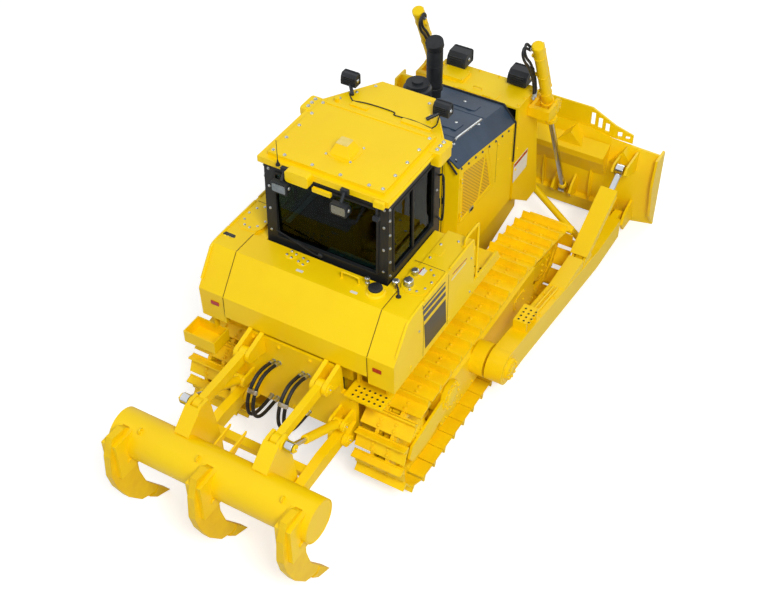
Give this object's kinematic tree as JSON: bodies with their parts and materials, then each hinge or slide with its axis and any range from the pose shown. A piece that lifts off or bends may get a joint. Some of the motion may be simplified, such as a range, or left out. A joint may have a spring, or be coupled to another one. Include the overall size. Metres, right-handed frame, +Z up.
{
  "type": "crawler bulldozer",
  "caption": "Crawler bulldozer with a straight tilting blade on push arms, hexagonal cab, sloping hood and a parallelogram ripper with three shanks.",
  "frame": {"origin": "on the ground under the middle of the machine's outline", "axes": "+X forward to the blade, +Y to the driver's left, +Z up"},
  "size_m": [7.1, 3.6, 3.41],
  "materials": {
    "yellow_paint": "gloss",
    "track_paint": "satin",
    "dark_cover": "satin",
    "black_frame": "satin",
    "grille_steel": "satin",
    "chrome_rod": "polished",
    "bare_steel": "worn",
    "window_glass": "clear",
    "seat_fabric": "woven",
    "console_plastic": "matte",
    "lamp_body": "satin",
    "hose_rubber": "matte"
  },
  "bodies": {
    "chassis": {"main_frame": "yellow_paint", "steering_case": "yellow_paint", "final_drives": "yellow_paint", "sprockets": "yellow_paint", "idlers": "yellow_paint", "track_rollers": "yellow_paint", "track_frames": "yellow_paint", "track_left": "track_paint", "track_right": "track_paint", "cross_shafts": "yellow_paint", "engine_block": "bare_steel", "hood_cover": "dark_cover", "hood_sides": "yellow_paint", "radiator_guard": "yellow_paint", "radiator_grille": "grille_steel", "radiator": "bare_steel", "exhaust_stack": "dark_cover", "air_precleaner": "dark_cover", "fuel_tank": "yellow_paint", "fenders": "yellow_paint", "rear_steps": "yellow_paint", "filler_caps": "yellow_paint", "cab_frame": "black_frame", "cab_roof": "yellow_paint", "cab_glass": "window_glass", "operator_seat": "seat_fabric", "control_consoles": "console_plastic", "work_lamps": "lamp_body", "lift_yokes": "yellow_paint", "ripper_bracket": "yellow_paint", "hose_left_inner": "hose_rubber", "hose_left_outer": "hose_rubber", "hose_right_inner": "hose_rubber", "hose_right_outer": "hose_rubber"},
    "left_arm": {"push_arm_left": "yellow_paint"},
    "right_arm": {"push_arm_right": "yellow_paint"},
    "blade": {"moldboard": "yellow_paint", "cutting_edges": "bare_steel", "spill_guard": "yellow_paint"},
    "left_brace": {"brace_left": "yellow_paint"},
    "tilt_barrel": {"tilt_cylinder_barrel": "yellow_paint"},
    "tilt_rod": {"tilt_cylinder_rod": "chrome_rod"},
    "link": {"stabiliser_link": "yellow_paint"},
    "lift_barrels": {"lift_cylinder_barrels": "yellow_paint"},
    "lift_rods": {"lift_cylinder_rods": "chrome_rod"},
    "ripper_frame": {"ripper_lower_frame": "yellow_paint"},
    "ripper_carrier": {"ripper_beam": "yellow_paint", "ripper_shanks": "yellow_paint", "ripper_points": "bare_steel"},
    "ripper_links": {"ripper_upper_links": "yellow_paint"},
    "ripper_barrels": {"ripper_cylinder_barrels": "yellow_paint"},
    "ripper_rods": {"ripper_cylinder_rods": "chrome_rod"},
    "left_cab_door": {"cab_door_left": "black_frame", "door_glass_left": "window_glass"},
    "right_cab_door": {"cab_door_right": "black_frame", "door_glass_right": "window_glass"},
    "left_hood_door": {"hood_door_left": "yellow_paint"},
    "right_hood_door": {"hood_door_right": "yellow_paint"}
  },
  "joints": [
    {"name": "blade_lift", "type": "hinge", "parent": "chassis", "child": "left_arm", "pos_m": [-0.14, 1.45, 0.61], "axis": [0, -1, 0], "range_deg": [-9, 19]},
    {"name": "blade_tilt", "type": "hinge", "parent": "left_arm", "child": "right_arm", "pos_m": [-0.14, -1.45, 0.61], "axis": [0, -1, 0], "range_deg": [-5, 5]},
    {"name": "blade_roll", "type": "hinge", "parent": "left_arm", "child": "blade", "pos_m": [3.15, 1.45, 0.22], "axis": [-0.993, 0, 0.1177], "range_deg": [-5.77, 5.77]},
    {"name": "brace_turn", "type": "hinge", "parent": "left_arm", "child": "left_brace", "pos_m": [2, 1.45, 0.52], "axis": [-0.4853, 0, 0.8744], "range_deg": [-4.19, 4.19]},
    {"name": "tilt_cylinder_turn", "type": "hinge", "parent": "right_arm", "child": "tilt_barrel", "pos_m": [2, -1.45, 0.52], "axis": [-0.4853, 0, 0.8744], "range_deg": [-4.19, 4.19]},
    {"name": "tilt_cylinder_stroke", "type": "slide", "parent": "tilt_barrel", "child": "tilt_rod", "axis": [0.8744, 0, 0.4853], "range_m": [-0.0723, 0.0723]},
    {"name": "stabiliser_turn", "type": "hinge", "parent": "blade", "child": "link", "pos_m": [2.97, -0.06, 0.7], "axis": [1, 0, 0], "range_deg": [-2.11, 2.11]},
    {"name": "lift_cylinder_swing", "type": "hinge", "parent": "chassis", "child": "lift_barrels", "pos_m": [2.355, 0, 2.17], "axis": [0, -1, 0], "range_deg": [-8.11, 17.12]},
    {"name": "lift_cylinder_stroke", "type": "slide", "parent": "lift_barrels", "child": "lift_rods", "axis": [0.4086, 0, -0.9127], "range_m": [-0.9793, 0.4639]},
    {"name": "ripper_lift", "type": "hinge", "parent": "chassis", "child": "ripper_frame", "pos_m": [-1.93, 0, 0.79], "axis": [0, 1, 0], "range_deg": [-30, 42]},
    {"name": "ripper_level", "type": "hinge", "parent": "ripper_frame", "child": "ripper_carrier", "pos_m": [-2.68, 0, 0.77], "axis": [0, 1, 0], "range_deg": [-42.42, 30.3]},
    {"name": "ripper_link_swing", "type": "hinge", "parent": "chassis", "child": "ripper_links", "pos_m": [-2, 0, 1.5], "axis": [0, 1, 0], "range_deg": [-30.3, 42.42]},
    {"name": "ripper_cylinder_swing", "type": "hinge", "parent": "chassis", "child": "ripper_barrels", "pos_m": [-1.96, 0, 1.01], "axis": [0, 1, 0], "range_deg": [-20.37, 28.51]},
    {"name": "ripper_cylinder_stroke", "type": "slide", "parent": "ripper_barrels", "child": "ripper_rods", "axis": [-0.8594, 0, 0.5113], "range_m": [-0.1984, 0.2778]},
    {"name": "left_door_hinge", "type": "hinge", "parent": "chassis", "child": "left_cab_door", "pos_m": [-0.08855, 0.64851, 2.4], "axis": [0, 0, 1], "range_deg": [0, 100]},
    {"name": "right_door_hinge", "type": "hinge", "parent": "chassis", "child": "right_cab_door", "pos_m": [-0.08855, -0.64851, 2.4], "axis": [0, 0, -1], "range_deg": [0, 100]},
    {"name": "left_hood_hinge", "type": "hinge", "parent": "chassis", "child": "left_hood_door", "pos_m": [0.552, 0.565, 2], "axis": [0, 0, 1], "range_deg": [0, 90]},
    {"name": "right_hood_hinge", "type": "hinge", "parent": "chassis", "child": "right_hood_door", "pos_m": [0.552, -0.565, 2], "axis": [0, 0, -1], "range_deg": [0, 90]}
  ],
  "couplings": [
    {"joint": "blade_roll", "follows": "blade_tilt", "ratio": 1.1424},
    {"joint": "brace_turn", "follows": "blade_tilt", "ratio": 0.83048},
    {"joint": "tilt_cylinder_turn", "follows": "blade_tilt", "ratio": 0.83048},
    {"joint": "tilt_cylinder_stroke", "follows": "blade_tilt", "m_per_rad": 0.82037},
    {"joint": "stabiliser_turn", "follows": "blade_tilt", "ratio": 0.417},
    {"joint": "lift_cylinder_swing", "follows": "blade_lift", "ratio": 0.892},
    {"joint": "lift_cylinder_stroke", "follows": "blade_lift", "m_per_rad": -2.924},
    {"joint": "ripper_level", "follows": "ripper_lift", "ratio": -1},
    {"joint": "ripper_link_swing", "follows": "ripper_lift", "ratio": 1},
    {"joint": "ripper_cylinder_swing", "follows": "ripper_lift", "ratio": 0.6722},
    {"joint": "ripper_cylinder_stroke", "follows": "ripper_lift", "m_per_rad": 0.3752}
  ]
}
